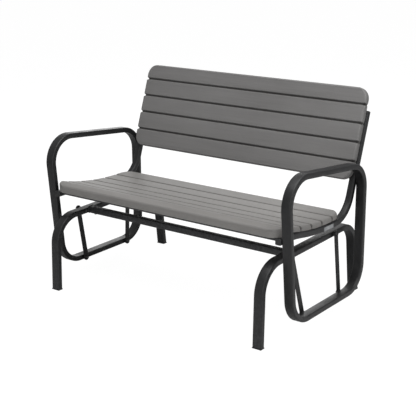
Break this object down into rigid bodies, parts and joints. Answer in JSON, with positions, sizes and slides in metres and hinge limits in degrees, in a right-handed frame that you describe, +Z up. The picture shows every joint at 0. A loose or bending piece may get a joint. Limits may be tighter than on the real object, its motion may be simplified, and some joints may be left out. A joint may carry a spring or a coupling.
{
  "type": "glider swing bench",
  "caption": "Outdoor glider bench: a slatted-look seat and back on looped steel side frames, swinging on hangers from a fixed tubular base.",
  "frame": {"origin": "on the floor, at the middle of the object's footprint", "axes": "+Z up, X across the seat from left to right as seen from the front, -Y is the front where the sitter's legs hang"},
  "size_m": [1.27, 0.7833, 0.889],
  "materials": {
    "base_steel": "near-black powder coat, satin, faint orange peel",
    "loop_steel": "near-black powder coat, satin, faint orange peel",
    "hanger_steel": "near-black powder coat on flat bar",
    "bolt_steel": "blackened steel fasteners",
    "cap_plastic": "matte black moulded plastic",
    "bushing_nylon": "black nylon",
    "seat_plastic": "grey moulded plastic with a fine wood grain",
    "back_plastic": "grey moulded plastic with a fine wood grain"
  },
  "bodies": {
    "base": {"base_frame_left": "base_steel", "base_frame_right": "base_steel", "base_crossbar_front": "base_steel", "foot_cap_front_left": "cap_plastic", "crossbar_bolt_front_left": "bolt_steel", "upper_bolt_front_left": "bolt_steel", "upper_bushing_front_left": "bushing_nylon", "foot_cap_front_right": "cap_plastic", "crossbar_bolt_front_right": "bolt_steel", "upper_bolt_front_right": "bolt_steel", "upper_bushing_front_right": "bushing_nylon", "base_crossbar_rear": "base_steel", "foot_cap_rear_left": "cap_plastic", "crossbar_bolt_rear_left": "bolt_steel", "upper_bolt_rear_left": "bolt_steel", "upper_bushing_rear_left": "bushing_nylon", "foot_cap_rear_right": "cap_plastic", "crossbar_bolt_rear_right": "bolt_steel", "upper_bolt_rear_right": "bolt_steel", "upper_bushing_rear_right": "bushing_nylon"},
    "hanger_front_left": {"hanger_front_left": "hanger_steel"},
    "hanger_front_right": {"hanger_front_right": "hanger_steel"},
    "hanger_rear_left": {"hanger_rear_left": "hanger_steel"},
    "hanger_rear_right": {"hanger_rear_right": "hanger_steel"},
    "carriage": {"loop_bolt_front_left": "bolt_steel", "lower_bolt_front_left": "bolt_steel", "lower_bushing_front_left": "bushing_nylon", "loop_bolt_front_right": "bolt_steel", "lower_bolt_front_right": "bolt_steel", "lower_bushing_front_right": "bushing_nylon", "seat_crossbar_front": "loop_steel", "loop_bolt_rear_left": "bolt_steel", "lower_bolt_rear_left": "bolt_steel", "lower_bushing_rear_left": "bushing_nylon", "loop_bolt_rear_right": "bolt_steel", "lower_bolt_rear_right": "bolt_steel", "lower_bushing_rear_right": "bushing_nylon", "seat_crossbar_rear": "loop_steel", "side_loop_left": "loop_steel", "side_rail_left": "loop_steel", "rail_cap_top_left": "cap_plastic", "rail_cap_front_left": "cap_plastic", "side_loop_right": "loop_steel", "side_rail_right": "loop_steel", "rail_cap_top_right": "cap_plastic", "rail_cap_front_right": "cap_plastic", "seat_panel": "seat_plastic", "backrest_panel": "back_plastic"}
  },
  "joints": [
    {"name": "swing_front_left", "type": "hinge", "parent": "base", "child": "hanger_front_left", "pos_m": [-0.5715, -0.191, 0.319], "axis": [1, 0, 0], "range_deg": [-15, 10]},
    {"name": "swing_front_right", "type": "hinge", "parent": "base", "child": "hanger_front_right", "pos_m": [0.5715, -0.191, 0.319], "axis": [1, 0, 0], "range_deg": [-15, 10]},
    {"name": "swing_rear_left", "type": "hinge", "parent": "base", "child": "hanger_rear_left", "pos_m": [-0.5715, 0.145, 0.317], "axis": [1, 0, 0], "range_deg": [-15, 10]},
    {"name": "swing_rear_right", "type": "hinge", "parent": "base", "child": "hanger_rear_right", "pos_m": [0.5715, 0.145, 0.317], "axis": [1, 0, 0], "range_deg": [-15, 10]},
    {"name": "seat_tilt", "type": "hinge", "parent": "hanger_front_left", "child": "carriage", "pos_m": [-0.586, -0.1425, 0.0691], "axis": [1, 0, 0], "range_deg": [-12, 18]}
  ],
  "couplings": [
    {"joint": "swing_front_right", "follows": "swing_front_left", "ratio": 1},
    {"joint": "swing_rear_left", "follows": "swing_front_left", "ratio": 0.99},
    {"joint": "swing_rear_right", "follows": "swing_front_left", "ratio": 0.99},
    {"joint": "seat_tilt", "follows": "swing_front_left", "ratio": -1.17}
  ]
}
